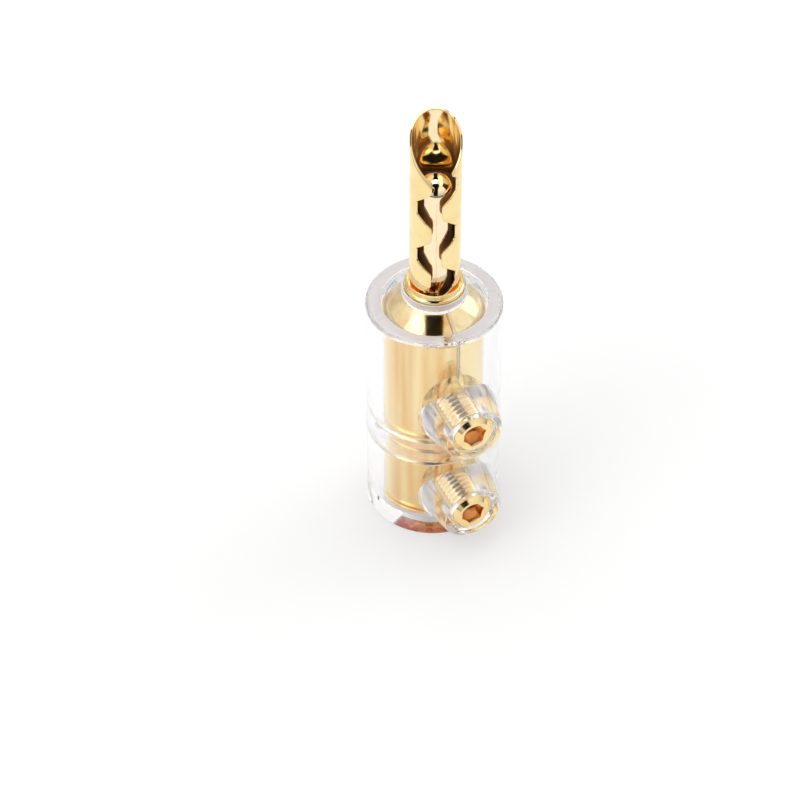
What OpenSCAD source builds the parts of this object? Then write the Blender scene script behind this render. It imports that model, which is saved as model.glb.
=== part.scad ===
// Banana plug with a rolled, wave-slotted spring contact, a turned core and a clear two-piece housing.
// The rear face stands on z = 0, the contact points along +Z and the two screw bosses point along -Y.

/* [Housing] */
// Outer diameter of the clear housing
housing_d = 12.5; // [12:0.1:14]
// Wall thickness of both shells
shell_wall = 1.5; // [1.3:0.05:1.8]
// Thickness of the rear end wall
rear_wall = 1.5; // [1:0.1:1.8]
// Distance from the rear face to the foot of the rear boss
rear_margin = 1.5; // [1.2:0.1:3]
// Distance from the foot of the rear boss to the seam between the shells
rear_seam_margin = 0.8; // [0.5:0.1:2]
// Distance from the seam to the foot of the front boss
front_seam_margin = 2.37; // [1.8:0.01:4]
// Distance from the foot of the front boss to the front rim
front_margin = 5.73; // [5.5:0.01:8]
// Length of the tongue that laps into the front shell
lap_len = 2.4; // [1.5:0.1:2.8]
// Thickness of the tongue
lap_wall = 0.75; // [0.6:0.05:0.9]
// Rounding of the outer housing edges
edge_round = 0.2; // [0.1:0.05:0.4]

/* [Conical front wall] */
// Width of the flat front rim
rim_w = 1.35; // [1.1:0.05:1.6]
// Depth of the small step between the rim and the conical wall
cone_step = 0.3; // [0.15:0.05:0.5]
// Slope of the conical wall in degrees
cone_slope = 36; // [30:1:38]
// Thickness of the conical wall, measured along the axis
cone_wall = 0.72; // [0.6:0.02:0.9]
// Width of the rounded lip around the collar
lip_w = 0.2; // [0.16:0.01:0.4]
// Height of the lip above the conical wall
lip_rise = 0.6; // [0.3:0.05:0.8]

/* [Screw bosses] */
// Wall thickness of a boss at its outer end
boss_wall = 0.65; // [0.5:0.05:0.9]
// Growth of a boss in radius from its outer end to the housing
boss_flare = 0.7; // [0.3:0.05:0.9]
// Height of a boss above the housing
boss_rise = 2.8; // [2.4:0.1:3.4]

/* [Core] */
// Wall thickness of the core around the cable bore
core_wall = 1.6; // [1.4:0.05:2.2]
// Metal left between the end of the cable bore and the pin
core_web = 1.4; // [1:0.05:1.6]
// Included angle of the drill point at the end of the cable bore
drill_angle = 118; // [112:1:140]
// Width of the groove near the rear end
groove_w = 0.7; // [0.5:0.05:0.75]
// Depth of the groove
groove_depth = 0.35; // [0.2:0.05:0.6]
// Distance from the rear end to the groove
groove_offset = 0.6; // [0.4:0.05:0.65]
// Chamfer on the rear edge of the core
core_chamfer = 0.25; // [0.1:0.05:0.35]
// Height of the collar above the front rim
collar_rise = 2.6; // [2:0.1:3.4]
// Wall thickness of the cup at the end of the collar
cup_wall = 0.23; // [0.18:0.01:0.3]
// Radial gap between the contact and the cup
cup_gap = 0.2; // [0.1:0.02:0.3]
// Depth of the cup
cup_depth = 1.2; // [0.8:0.1:1.6]

/* [Contact] */
// Outer diameter of the rolled contact
contact_d = 4.6; // [4.4:0.05:5]
// Thickness of the contact sheet
sheet_t = 0.2; // [0.16:0.02:0.3]
// Length of the contact along its high side
contact_len = 21.2; // [20:0.1:23]
// Depth of the contact's lower end below the front rim
contact_sink = 1; // [0.6:0.1:1.3]
// How much the contact is squeezed in radius where it sits in the core
root_squeeze = 0.17; // [0.16:0.01:0.22]
// Length of the slight lead-in taper at the tip
lead_len = 1; // [0.8:0.1:1.4]
// How far the lead-in taper falls in at the tip
lead_fall = 0.06; // [0.03:0.01:0.1]
// Fall of the cut tip from its high side to its low side
nib_fall = 5.9; // [4.6:0.1:6.4]
// Roundness of the cut tip, 1 is a straight cut
nib_power = 0.59; // [0.5:0.01:1]
// Angle of the slot about the plug axis, from the bosses towards -X
slot_angle = 21; // [0:1:45]

/* [Wave slot] */
// Length of the straight end of a tab
tip_flat = 0.82; // [0.6:0.02:1]
// Rise of the right row of tabs above the left row
wave_stagger = 2.5; // [2.2:0.05:2.8]
// Distance from the tip down to the first window corner
wave_start = 2.1; // [1.8:0.05:2.4]
// Distance from the middle of the slot to the outer wall of a window
window_reach = 1.76; // [1.5:0.02:1.8]
// Height of the upright outer wall of a window
window_wall = 1.35; // [1.1:0.05:1.45]
// Gap between the two rows of tab tips
tip_gap = 0.92; // [0.7:0.02:1.1]
// Gap between the edges of the sheet below the last window
seam_gap = 0.1; // [0.05:0.01:0.2]
// Rounding of the tab tips
tip_round = 0.7; // [0.4:0.02:0.75]
// Slope of the tab flanks in degrees
flank_slope = 45; // [42:1:46]
// Rounding where a flank meets the window wall
root_round = 0.5; // [0.2:0.05:0.6]

/* [Pin] */
// Diameter of the inner pin
pin_d = 3.24; // [2.9:0.02:3.3]
// Distance from the tip of the contact down to the top of the pin
pin_drop = 5.9; // [4.5:0.1:8]
// Depth of the pin in the core below the contact seat
pin_sink = 2.5; // [1.5:0.1:2.7]

/* [Set screws] */
// Outer diameter of the set screws
screw_d = 4; // [3.8:0.05:4]
// Length of the set screws
screw_len = 6; // [5:0.1:6.1]
// How far a screw stands out of its boss
screw_proud = 0.1; // [0:0.05:0.3]
// Width across flats of the hexagon socket
hex_af = 2; // [1.5:0.1:2.2]
// Depth of the hexagon socket
hex_depth = 2; // [1.5:0.1:2.5]
// Chamfer on both ends of a screw
screw_chamfer = 0.45; // [0.1:0.05:0.5]

/* [Fits] */
// Radial gap between the core and the shells
core_gap = 0.15; // [0.05:0.01:0.2]
// Gap between the cone of the core and the conical wall
cone_gap = 0.12; // [0.05:0.01:0.2]
// Radial gap between the collar and the housing
collar_gap = 0.04; // [0.02:0.01:0.1]
// Gap around the tongue of the rear shell
lap_gap = 0.05; // [0.02:0.01:0.1]
// Radial gap between a screw and its tapped hole
thread_gap = 0.05; // [0.02:0.01:0.09]
// Radial gap between a screw and its boss
boss_gap = 0.15; // [0.05:0.01:0.2]

/* [Hidden] */
$fn = 64;

gold = [0.95, 0.78, 0.42];
clear = [0.93, 0.93, 0.96, 0.4];
// How far a cut runs past the faces that it opens
cut_over = 1;
// Steps in the rounded stretches of an outline
round_steps = 6;
// Steps along the cut tip
nib_steps = 14;

housing_r = housing_d / 2;
shell_bore_r = housing_r - shell_wall;
lap_r = shell_bore_r + lap_wall;
core_r = shell_bore_r - core_gap;
contact_r = contact_d / 2;
root_r = contact_r - root_squeeze;
cup_r = contact_r + cup_gap;
collar_r = cup_r + cup_wall;
hole_r = collar_r + collar_gap;
lip_r = hole_r + lip_w;
cone_root_r = housing_r - rim_w;
cable_bore_r = core_r - core_wall;
screw_r = screw_d / 2;
tapped_r = screw_r + thread_gap;
boss_bore_r = screw_r + boss_gap;
boss_end_r = boss_bore_r + boss_wall;
boss_base_r = boss_end_r + boss_flare;
boss_reach = housing_r + boss_rise;

rear_boss_z = rear_margin + boss_base_r;
seam_z = rear_boss_z + boss_base_r + rear_seam_margin;
front_boss_z = seam_z + front_seam_margin + boss_base_r;
rim_z = front_boss_z + boss_base_r + front_margin;
seat_z = rim_z - contact_sink;
pin_floor_z = seat_z - pin_sink;
tip_z = seat_z + contact_len;
pin_top_z = tip_z - pin_drop;
collar_top_z = rim_z + collar_rise;
cup_floor_z = collar_top_z - cup_depth;
drill_point_z = pin_floor_z - core_web;
bore_end_z = drill_point_z - cable_bore_r / tan(drill_angle / 2);

// Height of the outer face of the conical wall at a radius
function cone_z(r) = rim_z - cone_step + (cone_root_r - r) * tan(cone_slope);
// Height of the inner face of the conical wall at a radius
function cone_inner_z(r) = cone_z(r) - cone_wall;
// Height of the cone of the core at a radius
function core_cone_z(r) = cone_inner_z(r) - cone_gap;

// Points of an arc about a centre, from one angle to another
function arc(centre, r, from, to) =
    [for (i = [0:round_steps])
        let (a = from + (to - from) * i / round_steps)
        [centre.x + r * cos(a), centre.y + r * sin(a)]];

// Places its children on a boss axis, with their +Z pointing out of the boss
module on_boss(z) {
    translate([0, 0, z])
        rotate([90, 0, 0])
            children();
}

// Turned core

groove_z = rear_wall + groove_offset;
core_outline = concat(
    [
        [cable_bore_r, rear_wall],
        [core_r - core_chamfer, rear_wall],
        [core_r, rear_wall + core_chamfer],
        [core_r, groove_z],
        [core_r - groove_depth, groove_z],
        [core_r - groove_depth, groove_z + groove_w],
        [core_r, groove_z + groove_w],
        [core_r, core_cone_z(core_r)],
        [collar_r, core_cone_z(collar_r)]
    ],
    arc([collar_r - cup_wall / 2, collar_top_z - cup_wall / 2], cup_wall / 2, 0, 180),
    [
        [cup_r, cup_floor_z],
        [root_r, cup_floor_z],
        [root_r, seat_z],
        [pin_d / 2, seat_z],
        [pin_d / 2, pin_floor_z],
        [0, pin_floor_z],
        [0, drill_point_z],
        [cable_bore_r, bore_end_z]
    ]
);

module tapped_hole(z) {
    on_boss(z)
        cylinder(r = tapped_r, h = core_r + cut_over);
}

module core() {
    color(gold)
        difference() {
            rotate_extrude()
                polygon(core_outline);
            tapped_hole(rear_boss_z);
            tapped_hole(front_boss_z);
        }
}

// Rolled contact, drawn with its slot facing +X and then turned to its place

// Height of the cut tip at a share of the way from the low side to the high side
function nib_z(share) = tip_z - nib_fall + nib_fall * pow(share, nib_power);

module nib_cut() {
    profile = concat(
        [for (i = [0:nib_steps])
            let (share = pow(i / nib_steps, 2))
            [contact_d * share - contact_r, nib_z(share)]],
        [
            [contact_r + cut_over, tip_z],
            [contact_r + cut_over, tip_z + cut_over],
            [-contact_r - cut_over, tip_z + cut_over],
            [-contact_r - cut_over, nib_z(0)]
        ]
    );
    rotate([90, 0, 180])
        linear_extrude(height = contact_d + 2 * cut_over, center = true)
            polygon(profile);
}

tip_reach = tip_gap / 2;
// Sideways and upright distance from a window wall to the start of a tab's rounded tip
flank_run = window_reach - tip_reach - tip_round * (1 - sin(flank_slope));
flank_fall = flank_run * tan(flank_slope);
round_fall = tip_round * cos(flank_slope);
root_lead = root_round * tan((90 - flank_slope) / 2);
seam_reach = seam_gap / 2;
// Distance between two tabs on the same side
wave_pitch = window_wall + 2 * (flank_fall + round_fall) + tip_flat;

// Outline of one tab from the window corner above it down to the next corner
function tab_points(corner_z) =
    let (
        wall_end = corner_z - window_wall,
        upper = wall_end - flank_fall - round_fall,
        lower = corner_z - wave_pitch + flank_fall + round_fall
    )
    concat(
        arc([window_reach - root_round, wall_end + root_lead], root_round, 0, flank_slope - 90),
        arc([tip_reach + tip_round, upper], tip_round, 90 + flank_slope, 180),
        arc([tip_reach + tip_round, lower], tip_round, 180, 270 - flank_slope),
        [[window_reach, corner_z - wave_pitch]]
    );

left_corner_z = tip_z - wave_start;
right_corner_z = left_corner_z + wave_stagger;
// Whole tabs on each side above the closed lower band
tabs = floor((left_corner_z - window_wall - cup_floor_z) / wave_pitch) + 1;
band_z = left_corner_z - tabs * wave_pitch - window_wall;

module wave_slot() {
    left_side = [for (k = [0:tabs - 1]) each tab_points(left_corner_z - k * wave_pitch)];
    right_side = [for (k = [0:tabs - 1]) each tab_points(right_corner_z - k * wave_pitch)];
    last_tab = arc([window_reach - root_round, right_corner_z - tabs * wave_pitch - window_wall + root_lead],
                   root_round, 0, flank_slope - 90);
    last_tip = arc([tip_reach + tip_round,
                    right_corner_z - tabs * wave_pitch - window_wall - flank_fall - round_fall],
                   tip_round, 90 + flank_slope, 180);
    right_down = concat([[window_reach, tip_z + wave_pitch]], right_side, last_tab, last_tip,
                        [[tip_reach, band_z], [seam_reach, band_z], [seam_reach, seat_z - cut_over]]);
    left_down = concat([[window_reach, tip_z + wave_pitch]], left_side,
                       [[window_reach, band_z], [seam_reach, band_z], [seam_reach, seat_z - cut_over]]);
    left_up = [for (i = [len(left_down) - 1:-1:0]) [-left_down[i].x, left_down[i].y]];
    rotate([90, 0, 90])
        linear_extrude(height = contact_r + cut_over)
            polygon(concat(right_down, left_up));
}

module contact() {
    color(gold)
        rotate([0, 0, -90 - slot_angle])
            difference() {
                rotate_extrude()
                    polygon([
                        [root_r, seat_z],
                        [root_r, cup_floor_z],
                        [contact_r, collar_top_z],
                        [contact_r, tip_z - lead_len],
                        [contact_r - lead_fall, tip_z],
                        [contact_r - sheet_t, tip_z],
                        [contact_r - sheet_t, collar_top_z],
                        [root_r - sheet_t, cup_floor_z],
                        [root_r - sheet_t, seat_z]
                    ]);
                nib_cut();
                wave_slot();
            }
}

// Inner pin with a domed top

module pin() {
    dome_z = pin_top_z - pin_d / 2;
    color(gold) {
        translate([0, 0, pin_floor_z])
            cylinder(d = pin_d, h = dome_z - pin_floor_z);
        translate([0, 0, dome_z])
            sphere(d = pin_d);
    }
}

// Clear shells with their screw bosses

boss_root = sqrt(pow(shell_bore_r, 2) - pow(boss_base_r, 2));
boss_root_r = boss_end_r + (boss_reach - boss_root) * boss_flare / boss_rise;

module boss(z) {
    on_boss(z)
        translate([0, 0, boss_root])
            cylinder(r1 = boss_root_r, r2 = boss_end_r, h = boss_reach - boss_root);
}

module boss_bore(z) {
    on_boss(z)
        cylinder(r = boss_bore_r, h = boss_reach + cut_over);
}

front_outline = concat(
    [[0, seam_z], [housing_r, seam_z]],
    arc([housing_r - edge_round, rim_z - edge_round], edge_round, 0, 90),
    [
        [cone_root_r, rim_z],
        [cone_root_r, rim_z - cone_step],
        [lip_r, cone_z(lip_r)]
    ],
    arc([hole_r + lip_w / 2, cone_z(lip_r) + lip_rise - lip_w / 2], lip_w / 2, 0, 180),
    [[hole_r, cone_inner_z(hole_r)], [0, cone_inner_z(hole_r)]]
);

module front_sleeve() {
    color(clear)
        difference() {
            union() {
                rotate_extrude()
                    polygon(front_outline);
                boss(front_boss_z);
            }
            rotate_extrude()
                polygon([
                    [0, seam_z - cut_over],
                    [lap_r + lap_gap, seam_z - cut_over],
                    [lap_r + lap_gap, seam_z + lap_len + lap_gap],
                    [shell_bore_r, seam_z + lap_len + lap_gap],
                    [shell_bore_r, cone_inner_z(shell_bore_r)],
                    [hole_r, cone_inner_z(hole_r)],
                    [hole_r, collar_top_z],
                    [0, collar_top_z]
                ]);
            boss_bore(front_boss_z);
        }
}

rear_outline = concat(
    [[0, 0]],
    arc([housing_r - edge_round, edge_round], edge_round, -90, 0),
    [
        [housing_r, seam_z],
        [lap_r, seam_z],
        [lap_r, seam_z + lap_len],
        [0, seam_z + lap_len]
    ]
);

module rear_sleeve() {
    color(clear)
        difference() {
            union() {
                rotate_extrude()
                    polygon(rear_outline);
                boss(rear_boss_z);
            }
            translate([0, 0, rear_wall])
                cylinder(r = shell_bore_r, h = seam_z + lap_len);
            translate([0, 0, -cut_over])
                cylinder(r = cable_bore_r, h = rear_wall + 2 * cut_over);
            boss_bore(rear_boss_z);
        }
}

// Set screws with a hexagon socket in the outer end

module set_screw(z) {
    outer_end = boss_reach + screw_proud;
    inner_end = outer_end - screw_len;
    color(gold)
        on_boss(z)
            difference() {
                rotate_extrude()
                    polygon([
                        [0, inner_end],
                        [screw_r - screw_chamfer, inner_end],
                        [screw_r, inner_end + screw_chamfer],
                        [screw_r, outer_end - screw_chamfer],
                        [screw_r - screw_chamfer, outer_end],
                        [0, outer_end]
                    ]);
                translate([0, 0, outer_end - hex_depth])
                    cylinder(d = hex_af / cos(30), h = hex_depth + cut_over, $fn = 6);
            }
}

module front_screw() {
    set_screw(front_boss_z);
}

module rear_screw() {
    set_screw(rear_boss_z);
}

core();
contact();
pin();
front_sleeve();
rear_sleeve();
front_screw();
rear_screw();
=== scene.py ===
import bpy
import bmesh
import math
from mathutils import Matrix, Vector
from mathutils.geometry import delaunay_2d_cdt


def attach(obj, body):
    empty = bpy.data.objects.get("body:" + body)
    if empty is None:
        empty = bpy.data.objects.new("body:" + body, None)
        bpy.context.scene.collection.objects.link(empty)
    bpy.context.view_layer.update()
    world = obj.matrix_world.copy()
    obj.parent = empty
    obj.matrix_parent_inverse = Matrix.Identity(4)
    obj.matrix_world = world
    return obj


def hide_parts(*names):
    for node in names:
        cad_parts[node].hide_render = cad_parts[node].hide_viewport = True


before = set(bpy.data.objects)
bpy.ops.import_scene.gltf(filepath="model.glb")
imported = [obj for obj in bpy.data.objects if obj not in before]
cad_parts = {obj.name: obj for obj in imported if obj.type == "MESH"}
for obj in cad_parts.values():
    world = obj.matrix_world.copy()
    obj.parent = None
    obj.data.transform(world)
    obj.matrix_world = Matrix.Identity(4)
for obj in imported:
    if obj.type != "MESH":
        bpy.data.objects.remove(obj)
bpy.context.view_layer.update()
mm = 0.001  # the sizes below are millimetres, the meshes are metres

# sizes that several pieces share, the same as in the CAD source
plug = dict(
    housingR=6.25, boreR=4.75, rearWall=1.5, seamZ=9.3, rimZ=24.4,
    coreR=4.6, collarR=2.73, collarTop=27.0, cupR=2.5, cupFloor=25.8,
    contactR=2.3, rootR=2.13, seatZ=23.4, tipZ=44.6, slotTurn=21.0,
    rearBossZ=5.0, frontBossZ=15.17, bossReach=9.05, bossEndR=2.8, bossBaseR=3.5, bossBoreR=2.15,
    cableR=3.0, pinR=1.62, pinFloor=20.9, tappedR=2.05, screwR=2.0,
)
frontWall = dict(rimW=1.35, step=0.3, slope=36.0, wall=0.72, lipW=0.2, lipRise=0.6, gap=0.12, collarGap=0.04)
coneRootR = plug["housingR"] - frontWall["rimW"]
sides = dict(body=256, boss=128, hole=96, mark=24)  # how finely round pieces are turned


def coneZ(r):  # outer face of the conical front wall at a radius
    return plug["rimZ"] - frontWall["step"] + (coneRootR - r) * math.tan(math.radians(frontWall["slope"]))


# mesh helpers

def roundCorners(corners, steps=5):
    # corners are (r, z) or (r, z, radius); a radius turns the corner into an arc
    out = []
    count = len(corners)
    for i, corner in enumerate(corners):
        p = Vector(corner[:2])
        radius = corner[2] if len(corner) > 2 else 0
        if radius <= 0:
            out.append(tuple(p))
            continue
        a = (Vector(corners[i - 1][:2]) - p).normalized()
        b = (Vector(corners[(i + 1) % count][:2]) - p).normalized()
        half = a.angle(b) / 2
        reach = radius / math.tan(half)
        centre = p + (a + b).normalized() * (radius / math.sin(half))
        start, end = p + a * reach - centre, p + b * reach - centre
        turn = start.angle_signed(end)
        for k in range(steps + 1):
            t = -turn * k / steps
            x = start.x * math.cos(t) - start.y * math.sin(t)
            y = start.x * math.sin(t) + start.y * math.cos(t)
            out.append((centre.x + x, centre.y + y))
    return out


def meshObject(name, verts, faces):
    mesh = bpy.data.meshes.new(name)
    mesh.from_pydata([(x * mm, y * mm, z * mm) for x, y, z in verts], [], faces)
    mesh.validate()
    obj = bpy.data.objects.new(name, mesh)
    bpy.context.scene.collection.objects.link(obj)
    return obj


def faceOutward(obj):
    bm = bmesh.new()
    bm.from_mesh(obj.data)
    bmesh.ops.remove_doubles(bm, verts=bm.verts, dist=1e-7)
    bmesh.ops.recalc_face_normals(bm, faces=bm.faces)
    bm.to_mesh(obj.data)
    bm.free()


def lathe(name, corners, count, place=None):
    profile = roundCorners(corners)
    verts, rings = [], []
    for r, z in profile:
        if r < 1e-5:
            rings.append([len(verts)])
            verts.append((0, 0, z))
        else:
            rings.append(list(range(len(verts), len(verts) + count)))
            for k in range(count):
                a = 2 * math.pi * k / count
                verts.append((r * math.cos(a), r * math.sin(a), z))
    faces = []
    for i, ring in enumerate(rings):
        other = rings[(i + 1) % len(rings)]
        for k in range(count):
            n = (k + 1) % count
            if len(ring) == 1 and len(other) == 1:
                break
            if len(ring) == 1:
                faces.append((ring[0], other[n], other[k]))
            elif len(other) == 1:
                faces.append((ring[k], ring[n], other[0]))
            else:
                faces.append((ring[k], ring[n], other[n], other[k]))
    if place is not None:
        verts = [tuple(place @ Vector(v)) for v in verts]
    obj = meshObject(name, verts, faces)
    faceOutward(obj)
    return obj


def wedge(name, start, end):  # cutter for a fine groove, from one triangle to another
    obj = meshObject(name, start + end, [(0, 1, 4, 3), (1, 2, 5, 4), (2, 0, 3, 5), (2, 1, 0), (3, 4, 5)])
    faceOutward(obj)
    return obj


def onBoss(z):  # from a boss's own axis to the plug's frame
    return Matrix.Translation((0, 0, z)) @ Matrix.Rotation(math.radians(90), 4, "X")


def carve(base, joined=(), cut=()):
    for tool, operation in [(t, "UNION") for t in joined] + [(t, "DIFFERENCE") for t in cut]:
        modifier = base.modifiers.new(operation.lower(), "BOOLEAN")
        modifier.operation = operation
        modifier.solver = "EXACT"
        modifier.object = tool
    bpy.context.view_layer.update()
    made = bpy.data.meshes.new_from_object(base.evaluated_get(bpy.context.evaluated_depsgraph_get()))
    base.modifiers.clear()
    base.data = made
    for tool in list(joined) + list(cut):
        bpy.data.objects.remove(tool)
    bm = bmesh.new()
    bm.from_mesh(made)
    bmesh.ops.remove_doubles(bm, verts=bm.verts, dist=2e-7)
    bmesh.ops.dissolve_degenerate(bm, edges=bm.edges, dist=2e-7)
    bm.to_mesh(made)
    bm.free()
    return base


def smooth(obj, angle=32):
    obj.data.shade_smooth()
    obj.data.set_sharp_from_angle(angle=math.radians(angle))
    modifier = obj.modifiers.new("evenNormals", "WEIGHTED_NORMAL")
    modifier.mode = "FACE_AREA"
    modifier.weight = 90
    modifier.keep_sharp = True


def dress(obj, materials, body, nodes):
    obj.data.materials.clear()
    for material in materials:
        obj.data.materials.append(material)
    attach(obj, body)
    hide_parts(*nodes)


# materials

def nodeMaterial(name):
    material = bpy.data.materials.new(name)
    material.use_nodes = True
    tree = material.node_tree
    return material, tree, tree.nodes["Principled BSDF"]


def addNode(tree, kind, **settings):
    node = tree.nodes.new("ShaderNode" + kind)
    for key, value in settings.items():
        setattr(node, key, value)
    return node


def link(tree, a, b):
    tree.links.new(a, b)


def noiseOf(tree, coords, scale, detail, stretch=(1, 1, 1)):
    mapping = addNode(tree, "Mapping")
    mapping.inputs["Scale"].default_value = stretch
    link(tree, coords, mapping.inputs["Vector"])
    noise = addNode(tree, "TexNoise")
    noise.inputs["Scale"].default_value = scale
    noise.inputs["Detail"].default_value = detail
    link(tree, mapping.outputs["Vector"], noise.inputs["Vector"])
    return noise.outputs["Fac"]


def rangeOf(tree, value, to, come=(0.0, 1.0), kind="LINEAR"):
    node = addNode(tree, "MapRange", interpolation_type=kind)
    node.inputs["From Min"].default_value, node.inputs["From Max"].default_value = come
    node.inputs["To Min"].default_value, node.inputs["To Max"].default_value = to
    link(tree, value, node.inputs["Value"])
    return node.outputs["Result"]


def addBump(tree, shader, height, strength, distance):
    bump = addNode(tree, "Bump")
    bump.inputs["Strength"].default_value = strength
    bump.inputs["Distance"].default_value = distance
    link(tree, height, bump.inputs["Height"])
    link(tree, bump.outputs["Normal"], shader.inputs["Normal"])


goldBase = dict(metal=1, tintScale=600, tintStretch=(1, 1, 1), tintDetail=2, tintRange=(0.36, 0.58),
                grainDetail=3, bumpHeight=0.00002)
goldLooks = dict(
    # the turned gold's long vertical streaks from deep to pale stand partly for turning marks and partly for
    # painted reflections of the floor and things beside the plug
    turned=dict(deep=(0.84, 0.49, 0.13), pale=(0.97, 0.82, 0.43), tintScale=560, tintStretch=(1, 1, 0.05),
                grainScale=900, grainStretch=(0.25, 0.25, 3.0), roughness=(0.07, 0.14), bump=0.05),
    rolled=dict(deep=(0.93, 0.70, 0.32), pale=(0.96, 0.77, 0.39), grainScale=700, grainStretch=(1, 1, 0.4),
                roughness=(0.05, 0.1), bump=0.02),
    screw=dict(deep=(0.91, 0.66, 0.29), pale=(0.95, 0.75, 0.39), grainScale=1500, grainStretch=(1, 1, 1),
               roughness=(0.12, 0.2), bump=0.05),
    # painted light: a paler, less orange copy of the gold for hollows inside the nib, the cup and the core's
    # end, to lift their shade
    inside=dict(deep=(0.94, 0.76, 0.45), pale=(0.98, 0.84, 0.56), grainScale=700, grainStretch=(1, 1, 0.2),
                roughness=(0.06, 0.12), bump=0.03),
    # painted shade: a dull dark brown copy of the gold that stands for the shade inside the contact's tube
    # below the nib
    paintedShade=dict(deep=(0.50, 0.33, 0.26), pale=(0.66, 0.46, 0.36), grainScale=700, grainStretch=(1, 1, 0.2),
                roughness=(0.25, 0.4), bump=0.03, metal=0.55),
    # painted light: a paler copy of the gold for the inner pin, which sits in the shade of the tube; the
    # core's cable bore uses it too
    pin=dict(deep=(0.95, 0.78, 0.50), pale=(0.98, 0.84, 0.58), grainScale=900, grainStretch=(0.5, 0.5, 2.0),
             roughness=(0.04, 0.08), bump=0.02),
    # painted light and shade: a less orange copy of the screw's gold for the hex socket, mottled darker and
    # paler to give the recess the contrast of shaded walls and a lit floor
    socket=dict(deep=(0.70, 0.45, 0.27), pale=(0.96, 0.74, 0.50), grainScale=1500, grainStretch=(1, 1, 1),
                roughness=(0.1, 0.16), bump=0.06),
)


def goldMaterial(name, look):
    material, tree, shader = nodeMaterial(name)
    coords = addNode(tree, "TexCoord").outputs["Object"]
    mottle = noiseOf(tree, coords, look["tintScale"], look["tintDetail"], look["tintStretch"])
    tint = addNode(tree, "Mix", data_type="RGBA")
    tint.inputs["A"].default_value = (*look["deep"], 1)
    tint.inputs["B"].default_value = (*look["pale"], 1)
    link(tree, rangeOf(tree, mottle, (0, 1), look["tintRange"]), tint.inputs["Factor"])
    link(tree, tint.outputs["Result"], shader.inputs["Base Color"])
    shader.inputs["Metallic"].default_value = look["metal"]
    grain = noiseOf(tree, coords, look["grainScale"], look["grainDetail"], look["grainStretch"])
    link(tree, rangeOf(tree, grain, look["roughness"]), shader.inputs["Roughness"])
    addBump(tree, shader, grain, look["bump"], look["bumpHeight"])
    return material


plasticBase = dict(ior=1.56, waveScale=160, waveDetail=1, bump=0.03, bumpHeight=0.0002,
                   shadowPass=(0.93, 0.93, 0.95))
plasticLooks = dict(
    clear=dict(color=(0.98, 0.976, 0.986), roughness=0.015, clear=1),
    cut=dict(color=(0.94, 0.90, 0.91), roughness=0.3, clear=0.5),
    bore=dict(color=(0.97, 0.96, 0.98), roughness=0.045, clear=0.88),
    lap=dict(color=(0.98, 0.96, 0.97), roughness=0.2, clear=0.92),
)


def plasticMaterial(name, look):
    material, tree, shader = nodeMaterial(name)
    coords = addNode(tree, "TexCoord").outputs["Object"]
    shader.inputs["Base Color"].default_value = (*look["color"], 1)
    shader.inputs["IOR"].default_value = look["ior"]
    shader.inputs["Transmission Weight"].default_value = look["clear"]
    waves = noiseOf(tree, coords, look["waveScale"], look["waveDetail"])
    roughness = (look["roughness"] * 0.5, look["roughness"] * 1.5)
    link(tree, rangeOf(tree, waves, roughness), shader.inputs["Roughness"])
    addBump(tree, shader, waves, look["bump"], look["bumpHeight"])
    # shadow rays pass straight through, so the wall throws only a faint shade
    path = addNode(tree, "LightPath")
    through = addNode(tree, "BsdfTransparent")
    through.inputs["Color"].default_value = (*look["shadowPass"], 1)
    mix = addNode(tree, "MixShader")
    link(tree, path.outputs["Is Shadow Ray"], mix.inputs["Fac"])
    link(tree, shader.outputs["BSDF"], mix.inputs[1])
    link(tree, through.outputs["BSDF"], mix.inputs[2])
    link(tree, mix.outputs["Shader"], tree.nodes["Material Output"].inputs["Surface"])
    return material


gold, plastic = {}, {}
for name, look in goldLooks.items():
    gold[name] = goldMaterial(name + "Gold", {**goldBase, **look})
for name, look in plasticLooks.items():
    plastic[name] = plasticMaterial(name + "Plastic", {**plasticBase, **look})
print("stage: materials")

# turned core

core = dict(
    endGap=0.01, grooveZ=2.1, grooveW=0.7, grooveDepth=0.35, chamfer=0.25, boreEnd=17.7, drillPoint=19.5,
    shoulderR=0.3, shoulderZ=26.15, shoulderTurn=66, shoulderSteps=10,
    boreEdge=0.1, endEdge=0.05, chamferEdge=0.1, grooveEdge=0.06, coneEdge=0.12, lipEdge=0.025, cupEdge=0.05,
    tapFrom=0.5, tapTo=4.35, tapFlare=0.7, endBand=0.2,
)


def coreConeZ(r):
    return coneZ(r) - frontWall["wall"] - frontWall["gap"]


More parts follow.
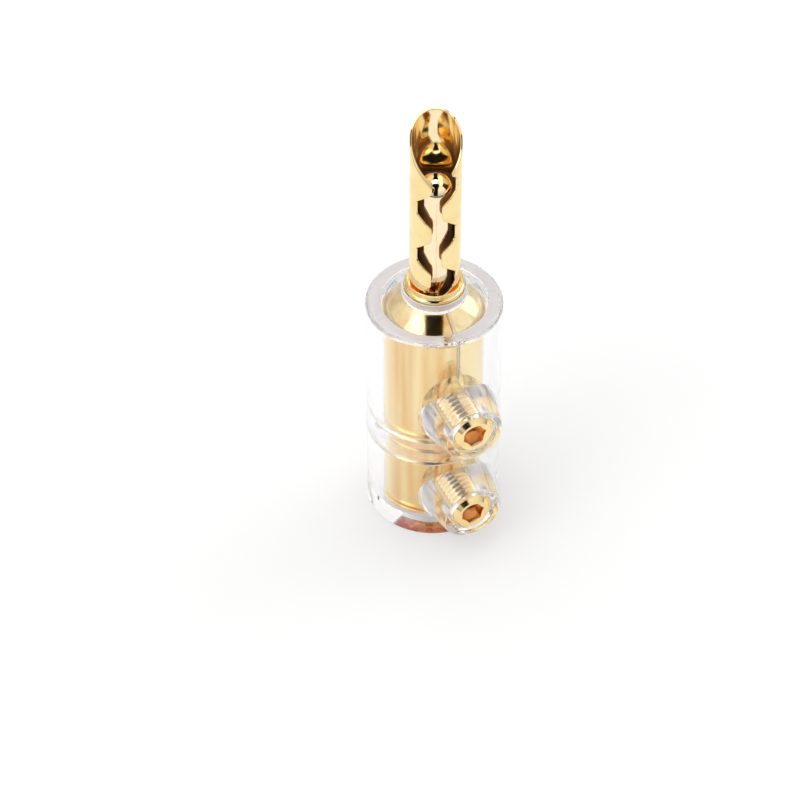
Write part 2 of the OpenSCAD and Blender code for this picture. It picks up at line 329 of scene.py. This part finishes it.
def makeCore():
    p, c = plug, core
    bottom = p["rearWall"] + c["endGap"]
    outerR, collarR, grooveR = p["coreR"], p["collarR"], p["coreR"] - c["grooveDepth"]
    grooveTop = c["grooveZ"] + c["grooveW"]
    # the collar's top is turned down a little, with a round shoulder under it
    shoulder = []
    for i in range(c["shoulderSteps"] + 1):
        t = math.radians(c["shoulderTurn"] * i / c["shoulderSteps"])
        r = collarR - c["shoulderR"] + c["shoulderR"] * math.cos(t)
        shoulder.append((r, c["shoulderZ"] + c["shoulderR"] * math.sin(t)))
    corners = [
        (p["cableR"], bottom, c["boreEdge"]), (outerR - c["chamfer"], bottom, c["endEdge"]),
        (outerR, bottom + c["chamfer"], c["chamferEdge"]),
        (outerR, c["grooveZ"], c["grooveEdge"]), (grooveR, c["grooveZ"], c["grooveEdge"]),
        (grooveR, grooveTop, c["grooveEdge"]), (outerR, grooveTop, c["grooveEdge"]),
        (outerR, coreConeZ(outerR), c["coneEdge"]), (collarR, coreConeZ(collarR), c["coneEdge"]), *shoulder,
        (shoulder[-1][0], p["collarTop"], c["lipEdge"]), (p["cupR"], p["collarTop"], c["lipEdge"]),
        (p["cupR"], p["cupFloor"], c["cupEdge"]), (p["rootR"], p["cupFloor"]), (p["rootR"], p["seatZ"]),
        (p["pinR"], p["seatZ"]), (p["pinR"], p["pinFloor"]), (0, p["pinFloor"]),
        (0, c["drillPoint"]), (p["cableR"], c["boreEnd"]),
    ]
    body = lathe("core_body", corners, sides["body"])
    tapEnd = c["tapTo"] + c["tapFlare"]
    tapped = [(0, c["tapFrom"]), (p["tappedR"], c["tapFrom"]), (p["tappedR"], c["tapTo"]),
              (p["tappedR"] + c["tapFlare"], tapEnd), (0, tapEnd)]
    bossZs = (p["rearBossZ"], p["frontBossZ"])
    carve(body, cut=[lathe("hole", tapped, sides["hole"], onBoss(z)) for z in bossZs])
    smooth(body)
    dress(body, [gold["turned"], gold["inside"], gold["pin"]], "plug_body", ["core"])
    # painted light: a paler gold inside the cup and on the end that stands in the rear wall, and the pin's
    # pale gold in the cable bore, lift the shade of these hollows
    for face in body.data.polygons:
        z, r = face.center.z / mm, face.center.xy.length / mm
        inCup = z > p["seatZ"] and r < p["cupR"] + 0.01
        atEnd = z < bottom + c["endBand"]
        inBore = bottom + c["endBand"] < z < p["seatZ"] and r < p["cableR"] + 0.01
        face.material_index = 1 if inCup or atEnd else 2 if inBore else 0


makeCore()
print("stage: core")

# rolled contact with its wave slot and cut tip

contact = dict(
    sheet=0.2, fall=5.9, power=0.59, edge=0.06, leadLen=1.0, leadFall=0.06,
    windowReach=1.76, windowWall=1.35, tipGap=0.92, seamGap=0.1, tipRound=0.7, tipFlat=0.82,
    flankSlope=45.0, rootRound=0.5, start=2.1, stagger=2.5, tabs=3, paintedShadeBelow=37.6,
    nibSteps=150, rootSteps=120, edgeStep=0.12, columns=150, rowStep=0.4, clearOfEdge=0.2, cell=0.3,
    edgeTurns=(0.35, 0.65, 1.0),
)
around = 2 * math.pi * plug["contactR"]


def nibZ(x):  # height of the cut tip at a distance x from the axis towards the slot
    share = min(1, max(0, (plug["contactR"] - x) / (2 * plug["contactR"])))
    return plug["tipZ"] - contact["fall"] + contact["fall"] * share ** contact["power"]


def arcPoints(cx, cz, r, start, end, steps=8):
    turns = [math.radians(start + (end - start) * i / steps) for i in range(steps + 1)]
    return [(cx + r * math.cos(t), cz + r * math.sin(t)) for t in turns]


def slotSide(cornerZ, bandZ):
    # one side of the slot from the tip downwards, as (distance from the middle, height)
    c = contact
    tipReach, slope = c["tipGap"] / 2, math.radians(c["flankSlope"])
    fall = (c["windowReach"] - tipReach - c["tipRound"] * (1 - math.sin(slope))) * math.tan(slope)
    roundFall = c["tipRound"] * math.cos(slope)
    lead = c["rootRound"] * math.tan((math.pi / 2 - slope) / 2)
    pitch = c["windowWall"] + 2 * (fall + roundFall) + c["tipFlat"]
    points = [(c["windowReach"], plug["tipZ"] + 2)]
    for k in range(c["tabs"] + 1):
        top = cornerZ - k * pitch
        wallEnd = top - c["windowWall"]
        if wallEnd < bandZ + 0.01:
            points.append((c["windowReach"], bandZ))
            break
        upper, lower = wallEnd - fall - roundFall, top - pitch + fall + roundFall
        rootX, tipX = c["windowReach"] - c["rootRound"], tipReach + c["tipRound"]
        points += arcPoints(rootX, wallEnd + lead, c["rootRound"], 0, c["flankSlope"] - 90)
        points += arcPoints(tipX, upper, c["tipRound"], 90 + c["flankSlope"], 180)
        if lower < bandZ:
            points.append((tipReach, bandZ))
            break
        points += arcPoints(tipX, lower, c["tipRound"], 180, 270 - c["flankSlope"])
        points.append((c["windowReach"], top - pitch))
    points += [(c["seamGap"] / 2, bandZ), (c["seamGap"] / 2, plug["seatZ"])]
    return points, pitch


def belowNib(flat):  # the part of a slot side that is under the cut tip, from the bottom upwards
    r = plug["contactR"]
    kept = []
    for i in range(len(flat) - 1, 0, -1):
        (s1, z1), (s0, z0) = flat[i], flat[i - 1]
        kept.append((s1, z1))
        if z0 > nibZ(r * math.cos(s0 / r)):
            low, high = 0.0, 1.0
            for _ in range(40):
                t = (low + high) / 2
                s, z = s1 + (s0 - s1) * t, z1 + (z0 - z1) * t
                if z > nibZ(r * math.cos(s / r)):
                    high = t
                else:
                    low = t
            kept.append((s, z))
            break
    return kept


def sheetOutline():
    # the flat pattern as (distance along the sheet, height), anticlockwise from the seam's right edge
    r, c = plug["contactR"], contact
    leftTop = plug["tipZ"] - c["start"]
    _, pitch = slotSide(leftTop, 0)
    bandZ = leftTop - c["tabs"] * pitch - c["windowWall"]
    edges = []
    for cornerZ in (leftTop + c["stagger"], leftTop):
        points, _ = slotSide(cornerZ, bandZ)
        edges.append(belowNib([(r * math.asin(min(0.999, x / r)), z) for x, z in points]))
    right, left = edges
    sStart, sEnd = right[-1][0], around - left[-1][0]
    along = [sStart + (sEnd - sStart) * i / c["nibSteps"] for i in range(1, c["nibSteps"])]
    points = right + [(s, nibZ(r * math.cos(s / r))) for s in along]
    points += [(around - s, z) for s, z in reversed(left)]
    rootFrom, rootTo = points[-1][0], points[0][0]
    count = c["rootSteps"]
    points += [(rootFrom + (rootTo - rootFrom) * i / count, plug["seatZ"]) for i in range(1, count)]
    return points


def resample(points, spacing):
    out = []
    for i, (s0, z0) in enumerate(points):
        s1, z1 = points[(i + 1) % len(points)]
        length = math.hypot(s1 - s0, z1 - z0)
        if length < 1e-4:
            continue
        steps = max(1, int(math.ceil(length / spacing)))
        out += [(s0 + (s1 - s0) * k / steps, z0 + (z1 - z0) * k / steps) for k in range(steps)]
    return out


def edgeNormals(points):
    # outward direction at each point, and how far a corner has to be drawn in
    out = []
    count = len(points)
    for i in range(count):
        p, a, b = points[i], points[i - 1], points[(i + 1) % count]
        d0 = Vector((p[0] - a[0], p[1] - a[1])).normalized()
        d1 = Vector((b[0] - p[0], b[1] - p[1])).normalized()
        n0, n1 = Vector((d0.y, -d0.x)), Vector((d1.y, -d1.x))
        n = (n0 + n1).normalized()
        out.append((n, 1 / max(0.5, n.dot(n0))))
    return out


def innerPoints(rim):
    # a grid of points on the sheet, kept away from its edges
    c = contact
    near = {}
    for s, z in rim:
        near.setdefault((int(s // c["cell"]), int(z // c["cell"])), []).append((s, z))
    points = []
    for i in range(1, c["columns"]):
        s = around * i / c["columns"]
        z = plug["seatZ"] + c["clearOfEdge"]
        while z < plug["tipZ"]:
            cs, cz = int(s // c["cell"]), int(z // c["cell"])
            close = [p for ds in (-1, 0, 1) for dz in (-1, 0, 1) for p in near.get((cs + ds, cz + dz), ())]
            if all(math.hypot(p[0] - s, p[1] - z) >= c["clearOfEdge"] for p in close):
                points.append((s, z))
            z += c["rowStep"]
    return points


def makeContact():
    outline = resample(sheetOutline(), contact["edgeStep"])
    area = sum(a[0] * b[1] - b[0] * a[1] for a, b in zip(outline, outline[1:] + outline[:1]))
    if area < 0:
        outline.reverse()
    normals = edgeNormals(outline)
    edge, sheet, sheetR = contact["edge"], contact["sheet"], plug["contactR"]
    inset = [(p[0] - n.x * edge * k, p[1] - n.y * edge * k) for p, (n, k) in zip(outline, normals)]
    coords = [Vector(p) for p in inset + innerPoints(inset)]
    flat, _, triangles, origins, _, _ = delaunay_2d_cdt(coords, [], [list(range(len(inset)))], 1, 1e-6)
    index = {}
    for new, old in enumerate(origins):
        for o in old:
            index[o] = new
    turn = math.radians(-90 - plug["slotTurn"])

    def outerR(z):  # squeezed at the root, free above the collar, a slight lead-in at the tip
        t = min(1, max(0, (z - plug["cupFloor"]) / (plug["collarTop"] - plug["cupFloor"])))
        lead = max(0, (z - plug["tipZ"] + contact["leadLen"]) / contact["leadLen"])
        return plug["rootR"] + (sheetR - plug["rootR"]) * t - contact["leadFall"] * lead

    def place(s, z, depth):
        a = turn + s / sheetR
        r = outerR(z) - depth
        return (r * math.cos(a), r * math.sin(a), z)

    verts, vertNormals, faces = [], [], []

    def add(s, z, depth, radial, n=(0, 0)):
        a = turn + s / sheetR
        verts.append(place(s, z, depth))
        x = radial * math.cos(a) - n[0] * math.sin(a)
        y = radial * math.sin(a) + n[0] * math.cos(a)
        vertNormals.append(Vector((x, y, n[1])).normalized())
        return len(verts) - 1

    def tilt(s, z):  # the cut runs level, so the inside of the tip's edge is a little lower
        x = math.cos(s / sheetR)
        if abs(z - nibZ(sheetR * x)) > 3 * edge:
            return 0
        return nibZ(sheetR * x) - nibZ((sheetR - sheet) * x)

    outer = [add(p.x, p.y, 0, 1) for p in flat]
    rims = []
    for i, ((s, z), (n, k)) in enumerate(zip(outline, normals)):
        ring = [outer[index[i]]]
        for depth, radial, drop in ((0.0, 1, 0), (sheet, -1, tilt(s, z))):
            for t in contact["edgeTurns"][::radial]:
                a = t * math.pi / 2
                pull = edge * k * (1 - math.sin(a))
                down = edge * (1 - math.cos(a))
                ring.append(add(s - n.x * pull, z - n.y * pull - drop, depth + radial * down,
                                radial * math.cos(a), (n.x * math.sin(a), n.y * math.sin(a))))
        rims.append(ring)
    inner = [add(p.x, p.y, sheet, -1) for p in flat]
    for i, (s, z) in enumerate(outline):
        v = inner[index[i]]
        verts[v] = place(inset[i][0], inset[i][1] - tilt(s, z), sheet)
        rims[i].append(v)
    for triangle in triangles:
        faces.append(tuple(outer[v] for v in triangle))
        faces.append(tuple(inner[v] for v in reversed(triangle)))
    for i, ring in enumerate(rims):
        other = rims[(i + 1) % len(rims)]
        for k in range(len(ring) - 1):
            faces.append((ring[k], ring[k + 1], other[k + 1], other[k]))
    obj = meshObject("contact_sheet", verts, faces)
    obj.data.shade_smooth()
    obj.data.normals_split_custom_set_from_vertices(vertNormals)
    dress(obj, [gold["rolled"], gold["inside"], gold["paintedShade"]], "plug_body", ["contact"])
    # painted light and shade on the inner face: a paler gold inside the nib lifts its shade, and a dull dark
    # brown gold inside the tube below it is painted shade
    for face in obj.data.polygons:
        x, y, z = face.center / mm
        if face.normal.x * x + face.normal.y * y < -0.5 * math.hypot(x, y):
            face.material_index = 1 if z > contact["paintedShadeBelow"] else 2


makeContact()
print("stage: contact")

# inner pin, with a fine seam down its front

pin = dict(top=38.7, floorGap=0.01, domeStep=3, seamTurn=-110.5, seamWidth=0.12, seamDepth=0.05, seamTop=36.9)


def makePin():
    r, half = plug["pinR"], pin["seamWidth"] / 2
    dome = [(r * math.cos(math.radians(a)), pin["top"] - r + r * math.sin(math.radians(a)))
            for a in range(0, 90, pin["domeStep"])]
    bottom = plug["pinFloor"] + pin["floorGap"]
    obj = lathe("inner_pin", [(0, bottom), (r, bottom)] + dome + [(0, pin["top"])], sides["boss"])
    low, high = [[(r + 0.02, -half, z), (r + 0.02, half, z), (r - pin["seamDepth"], 0, z)]
                 for z in (plug["seatZ"] + 0.1, pin["seamTop"])]
    seam = wedge("seam", low, high)
    seam.data.transform(Matrix.Rotation(math.radians(pin["seamTurn"]), 4, "Z"))
    carve(obj, cut=[seam])
    smooth(obj, 40)
    # the pin's paler gold is painted light
    dress(obj, [gold["pin"]], "plug_body", ["pin"])


makePin()
print("stage: pin")

# clear shells

shell = dict(edge=0.2, rimEdge=0.45, seamEdge=0.06, stepEdge=0.05, coneEdge=0.1, tongueEdge=0.08,
             lapR=5.5, lapTop=11.7, lapGap=0.05, seamGap=0.02, bossEdge=0.16, boreEdge=0.08)
# the weld line over the cone and down the bore, and the sunk gate mark on the rim
weld = dict(width=0.24, depth=0.06, lowZ=19.2, gateR=5.45, gateTurn=-101.2, gateSize=0.55, gateDepth=0.13)


def bossForm(z):
    p = plug
    rootRho = math.sqrt(p["boreR"] ** 2 - p["bossBaseR"] ** 2)
    taper = (p["bossBaseR"] - p["bossEndR"]) / (p["bossReach"] - p["housingR"])
    rootR = p["bossEndR"] + (p["bossReach"] - rootRho) * taper
    corners = [(0, rootRho), (rootR, rootRho), (p["bossEndR"], p["bossReach"], shell["bossEdge"]),
               (0, p["bossReach"])]
    return lathe("boss", corners, sides["boss"], onBoss(z))


def bossBore(z):
    r, reach = plug["bossBoreR"], plug["bossReach"]
    mouthR = r + shell["boreEdge"]
    corners = [(0, 0), (r, 0), (r, reach - shell["boreEdge"]), (mouthR, reach + 0.001),
               (mouthR, reach + 1), (0, reach + 1)]
    return lathe("bore", corners, sides["boss"], onBoss(z))


def weldMarks():
    p, w, m = plug, frontWall, weld
    half = m["width"] / 2
    lipFoot = p["collarR"] + w["collarGap"] + w["lipW"] + 0.05
    onCone = [[(-half, -r, coneZ(r) + 0.02), (half, -r, coneZ(r) + 0.02), (0, -r, coneZ(r) - m["depth"])]
              for r in (lipFoot, coneRootR - 0.08)]
    inBore = [[(-half, 0.03 - p["boreR"], z), (half, 0.03 - p["boreR"], z), (0, -p["boreR"] - m["depth"], z)]
              for z in (m["lowZ"], coneZ(p["boreR"]) - w["wall"] - 0.05)]
    a, size, depth = math.radians(m["gateTurn"]), m["gateSize"], m["gateDepth"]
    place = Matrix.Translation((m["gateR"] * math.cos(a), m["gateR"] * math.sin(a), p["rimZ"]))
    gateForm = [(0, -depth), (size * 0.4, -depth * 0.7), (size * 0.75, -depth), (size, 0.02), (0, 0.02)]
    return [wedge("onCone", *onCone), wedge("inBore", *inBore), lathe("gate", gateForm, sides["mark"], place)]


def dullFaces(body, bossZ):
    # the level faces of the lap and the bore of the boss are a little dull
    for face in body.data.polygons:
        x, y, z = face.center / mm
        if abs(face.normal.z) > 0.6 and plug["seamZ"] - 0.1 < z < shell["lapTop"] + 0.1:
            face.material_index = 1
        elif y < 0 and math.hypot(x, z - bossZ) < plug["bossBoreR"] + 0.02:
            face.material_index = 2


def makeFrontShell():
    p, w, s = plug, frontWall, shell
    holeR = p["collarR"] + w["collarGap"]
    lipR = holeR + w["lipW"]
    lipTop, lipEdge = coneZ(lipR) + w["lipRise"], w["lipW"] * 0.45
    bottom = p["seamZ"] + s["seamGap"]
    wallZ = coneZ(holeR) - w["wall"]
    lapR, lapTop = s["lapR"] + s["lapGap"], s["lapTop"] + s["lapGap"]
    outside = [
        (0, bottom), (p["housingR"], bottom, s["seamEdge"]), (p["housingR"], p["rimZ"], s["rimEdge"]),
        (coneRootR, p["rimZ"], s["seamEdge"]), (coneRootR, p["rimZ"] - w["step"], s["stepEdge"]),
        (lipR, coneZ(lipR), s["coneEdge"]), (lipR, lipTop, lipEdge), (holeR, lipTop, lipEdge),
        (holeR, wallZ), (0, wallZ),
    ]
    inside = [
        (0, bottom - 1), (lapR, bottom - 1), (lapR, lapTop), (p["boreR"], lapTop, s["stepEdge"]),
        (p["boreR"], coneZ(p["boreR"]) - w["wall"], s["coneEdge"]), (holeR, wallZ),
        (holeR, p["rimZ"] + 6), (0, p["rimZ"] + 6),
    ]
    body = lathe("front_shell", outside, sides["body"])
    cuts = [lathe("inside", inside, sides["body"]), bossBore(p["frontBossZ"])] + weldMarks()
    carve(body, [bossForm(p["frontBossZ"])], cuts)
    smooth(body)
    materials = [plastic["clear"], plastic["lap"], plastic["bore"], plastic["cut"]]
    dress(body, materials, "plug_body", ["front_sleeve"])
    dullFaces(body, p["frontBossZ"])
    # the end of the rim and the lip round the collar are duller still
    for face in body.data.polygons:
        x, y, z = face.center / mm
        r = math.hypot(x, y)
        rimFace = z > p["rimZ"] - 0.03 and r > coneRootR + 0.02
        lip = r < lipR + 0.03 and z > coneZ(lipR) + 0.05
        groove = abs(x) < weld["width"] / 2 and y < 0 and r < coneRootR and abs(face.normal.x) > 0.3
        if rimFace or lip or groove:
            face.material_index = 3


def makeRearShell():
    p, s = plug, shell
    outside = [
        (0, 0.0), (p["housingR"], 0.0, s["edge"]), (p["housingR"], p["seamZ"], s["seamEdge"]),
        (s["lapR"], p["seamZ"]), (s["lapR"], s["lapTop"], s["tongueEdge"]), (0, s["lapTop"]),
    ]
    inside = [
        (0, -1), (p["cableR"], -1), (p["cableR"], p["rearWall"]), (p["boreR"], p["rearWall"], s["coneEdge"]),
        (p["boreR"], s["lapTop"] + 1), (0, s["lapTop"] + 1),
    ]
    body = lathe("rear_shell", outside, sides["body"])
    cuts = [lathe("inside", inside, sides["body"]), bossBore(p["rearBossZ"])]
    carve(body, [bossForm(p["rearBossZ"])], cuts)
    smooth(body)
    materials = [plastic["clear"], plastic["lap"], plastic["bore"]]
    dress(body, materials, "plug_body", ["rear_sleeve"])
    dullFaces(body, p["rearBossZ"])


makeFrontShell()
makeRearShell()
print("stage: shells")

# set screws

screw = dict(
    length=6.0, proud=0.1, chamfer=0.45, pitch=0.5, depth=0.2, rows=20, columns=96,
    hexAf=2.0, hexDepth=2.0, hexTurn=14.0, mouthR=1.3, mouthSlope=0.6, drillR=0.85, drillDepth=0.45,
    pointR=1.2, pointFloorR=0.9, pointDepth=0.35,
)


def makeScrew(name, z, node):
    s, r, columns = screw, plug["screwR"], screw["columns"]
    hexTurn = math.radians(s["hexTurn"])
    outer = plug["bossReach"] + s["proud"]
    inner, socketZ = outer - s["length"], outer - s["hexDepth"]
    verts, faces = [], []

    def ring(radius, height):  # each is a number, or changes with the angle
        first = len(verts)
        for k in range(columns):
            a = 2 * math.pi * k / columns + hexTurn
            q = radius(a) if callable(radius) else radius
            h = height(a) if callable(height) else height
            verts.append((q * math.cos(a), q * math.sin(a), h))
        return list(range(first, first + columns))

    def threadR(h, a):
        phase = (h / s["pitch"] - a / (2 * math.pi)) % 1
        wave = abs(2 * phase - 1)  # 1 at the crest, 0 at the root
        wave = min(1, max(0, (wave - 0.08) / 0.8))
        wave = wave * wave * (3 - 2 * wave) * 0.35 + wave * 0.65
        ends = min(h - inner, outer - h)
        fade = min(1, max(0, (ends - s["chamfer"]) / s["pitch"]))
        return min(r - s["depth"] * (1 - wave) * fade, r - s["chamfer"] + max(0, ends))

    def hexR(a):
        turned = (a - hexTurn + 1e-6) % (math.pi / 3)
        return s["hexAf"] / 2 / math.cos(turned - math.pi / 6)

    rings = [ring(s["pointFloorR"], inner + s["pointDepth"]), ring(s["pointR"], inner)]
    rows = int(s["rows"] * s["length"] / s["pitch"])
    for i in range(rows + 1):
        h = inner + s["length"] * i / rows
        rings.append(ring(lambda a: threadR(h, a), h))
    rings.append(ring(s["mouthR"], outer))
    rings.append(ring(hexR, lambda a: outer - (s["mouthR"] - hexR(a)) * s["mouthSlope"]))
    rings.append(ring(hexR, socketZ))
    rings.append(ring(s["drillR"], socketZ))
    for a, b in zip(rings, rings[1:]):
        for k in range(columns):
            n = (k + 1) % columns
            faces.append((a[k], a[n], b[n], b[k]))
    for loop, height in ((rings[0], inner + s["pointDepth"]), (rings[-1], socketZ - s["drillDepth"])):
        verts.append((0, 0, height))
        for k in range(columns):
            faces.append((loop[k], loop[(k + 1) % columns], len(verts) - 1))
    place = onBoss(z)
    obj = meshObject(name, [tuple(place @ Vector(v)) for v in verts], faces)
    faceOutward(obj)
    smooth(obj, 35)
    dress(obj, [gold["screw"], gold["socket"]], node, [node])
    back = place.inverted()
    # the hex socket gets its own copy of the gold, with painted light and shade
    for face in obj.data.polygons:
        p = back @ (face.center / mm)
        if 0.12 < outer - p.z < s["hexDepth"] + 1 and p.xy.length < s["mouthR"]:
            face.material_index = 1


makeScrew("front_set_screw", plug["frontBossZ"], "front_screw")
makeScrew("rear_set_screw", plug["rearBossZ"], "rear_screw")
print("stage: screws")

# floor, light and camera

stage = dict(floorSize=600, floorZ=-0.02, floorColor=0.86, floorGlow=0.26, floorRoughness=0.9,
             lightLevel=0.56, seenTop=1.0, seenLow=0.66, seenRange=(0.1, 0.6),
             horizon=0.3, horizonRange=(0.03, 0.12))


def makeFloor():
    half, z = stage["floorSize"] / 2, stage["floorZ"]
    corners = [(-half, -half, z), (half, -half, z), (half, half, z), (-half, half, z)]
    floor = meshObject("floor", corners, [(0, 1, 2, 3)])
    material, tree, shader = nodeMaterial("floorPaper")
    shader.inputs["Base Color"].default_value = (*[stage["floorColor"]] * 3, 1)
    shader.inputs["Roughness"].default_value = stage["floorRoughness"]
    shader.inputs["Specular IOR Level"].default_value = 0
    # the glow whitens the paper where it is looked at, mirrored or seen through plastic
    path = addNode(tree, "LightPath")
    seen = path.outputs["Is Camera Ray"]
    for ray in ("Is Transmission Ray", "Is Glossy Ray"):
        either = addNode(tree, "Math", operation="MAXIMUM")
        link(tree, seen, either.inputs[0])
        link(tree, path.outputs[ray], either.inputs[1])
        seen = either.outputs[0]
    strength = addNode(tree, "Math", operation="MULTIPLY")
    strength.inputs[1].default_value = stage["floorGlow"]
    link(tree, seen, strength.inputs[0])
    glow = addNode(tree, "Emission")
    link(tree, strength.outputs[0], glow.inputs["Strength"])
    both = addNode(tree, "AddShader")
    link(tree, shader.outputs["BSDF"], both.inputs[0])
    link(tree, glow.outputs["Emission"], both.inputs[1])
    link(tree, both.outputs["Shader"], tree.nodes["Material Output"].inputs["Surface"])
    floor.data.materials.append(material)


def makeWorld():
    world = bpy.data.worlds.new("studio")
    bpy.context.scene.world = world
    world.use_nodes = True
    tree = world.node_tree
    back = tree.nodes["Background"]
    back.inputs["Color"].default_value = (1, 1, 1, 1)
    split = addNode(tree, "SeparateXYZ")
    link(tree, addNode(tree, "TexCoord").outputs["Generated"], split.inputs["Vector"])
    up = split.outputs["Z"]
    # metal sees a darker sky low down and a dark strip at the horizon, past the end of the floor
    level = rangeOf(tree, up, (stage["seenLow"], stage["seenTop"]), stage["seenRange"], "SMOOTHSTEP")
    strip = rangeOf(tree, up, (stage["horizon"], 1), stage["horizonRange"], "SMOOTHSTEP")
    onMetal = addNode(tree, "Math", operation="MULTIPLY")
    link(tree, level, onMetal.inputs[0])
    link(tree, strip, onMetal.inputs[1])
    path = addNode(tree, "LightPath")
    last = None
    rays = (("Is Glossy Ray", onMetal.outputs[0]), ("Is Transmission Ray", level), ("Is Camera Ray", None))
    for ray, seen in rays:
        pick = addNode(tree, "Mix", data_type="FLOAT")
        link(tree, path.outputs[ray], pick.inputs["Factor"])
        pick.inputs["A"].default_value = stage["lightLevel"]
        pick.inputs["B"].default_value = 1
        if last is not None:
            link(tree, last, pick.inputs["A"])
        if seen is not None:
            link(tree, seen, pick.inputs["B"])
        last = pick.outputs["Result"]
    link(tree, last, back.inputs["Strength"])


lamps = dict(
    overhead=dict(at=(-0.10, 0.15, 0.70), size=(0.8, 0.6), watts=1.5),
    left=dict(at=(-0.45, -0.10, 0.30), size=(0.3, 0.5), watts=0.5),
    right=dict(at=(0.45, 0.05, 0.30), size=(0.3, 0.5), watts=0.4),
)
lampAim = (0, 0, 0.025)


def makeLamps():
    for name, lamp in lamps.items():
        data = bpy.data.lights.new(name, "AREA")
        data.shape = "RECTANGLE"
        data.size, data.size_y = lamp["size"]
        data.energy = lamp["watts"]
        obj = bpy.data.objects.new(name, data)
        obj.location = lamp["at"]
        obj.rotation_mode = "QUATERNION"
        obj.rotation_quaternion = (Vector(lamp["at"]) - Vector(lampAim)).to_track_quat("Z", "Y")
        bpy.context.scene.collection.objects.link(obj)


# the gap of the light tent that the camera looks through, as (elevation, half width) rows,
# and two small holes, as (azimuth, elevation, radius)
tent = dict(radius=300, centreZ=30, facing=-114.0, shade=(0.012, 0.011, 0.012), holeSides=16,
            gap=[(7, 0.22), (35, 0.25), (50, 0.25), (62, 0.34), (67, 0.38), (80, 0.34), (84, 0.2)],
            holes=[(66.0, 40, 22), (-10.0, 53, 17)])


def onTent(azimuth, elevation, aside=0):
    a, e = math.radians(azimuth), math.radians(elevation)
    out = Vector((math.cos(a) * math.cos(e), math.sin(a) * math.cos(e), math.sin(e)))
    p = (out + Vector((-math.sin(a), math.cos(a), 0)) * aside) * tent["radius"]
    return (p.x, p.y, p.z + tent["centreZ"])


def makeTent():
    material, tree, shader = nodeMaterial("darkCard")
    shader.inputs["Base Color"].default_value = (*tent["shade"], 1)
    shader.inputs["Roughness"].default_value = 1
    shader.inputs["Specular IOR Level"].default_value = 0
    verts = [onTent(tent["facing"], e, w * side) for e, w in tent["gap"] for side in (-1, 1)]
    faces = [(2 * i, 2 * i + 1, 2 * i + 3, 2 * i + 2) for i in range(len(tent["gap"]) - 1)]
    cards = [meshObject("tentGap", verts, faces)]
    count = tent["holeSides"]
    for azimuth, elevation, radius in tent["holes"]:
        centre = Vector(onTent(azimuth, elevation))
        inward = (centre - Vector((0, 0, tent["centreZ"]))).to_track_quat("Z", "Y").to_matrix()
        ring = []
        for k in range(count):
            t = k * 2 * math.pi / count
            ring.append(tuple(centre + inward @ Vector((radius * math.cos(t), radius * math.sin(t), 0))))
        cards.append(meshObject("tentHole", ring, [tuple(range(count))]))
    for obj in cards:
        obj.data.materials.append(material)
        obj.visible_camera = False
        obj.visible_diffuse = False


view = dict(eye=(-3.09, -185.0, 168.15), pitch=44.36, focal=2774.0, turn=-24.0, frameWidth=800, sensor=36)


def makeCamera():
    data = bpy.data.cameras.new("camera")
    data.sensor_width = view["sensor"]
    data.lens = view["focal"] / view["frameWidth"] * view["sensor"]
    data.clip_start, data.clip_end = 0.01, 20
    camera = bpy.data.objects.new("camera", data)
    turn = Matrix.Rotation(math.radians(view["turn"]), 4, "Z")
    eye = turn @ Vector(view["eye"]) + Vector((0, 0, plug["rimZ"]))
    pitch = Matrix.Rotation(math.radians(90 - view["pitch"]), 4, "X")
    camera.matrix_world = Matrix.Translation(eye * mm) @ turn @ pitch
    bpy.context.scene.collection.objects.link(camera)
    bpy.context.scene.camera = camera


makeFloor()
makeWorld()
makeLamps()
makeTent()
makeCamera()
scene = bpy.context.scene
scene.view_settings.view_transform = "Standard"
# light stays inside the clear walls for many reflections
scene.cycles.max_bounces = 48
scene.cycles.glossy_bounces = 40
scene.cycles.transmission_bounces = 40
print("stage: studio")
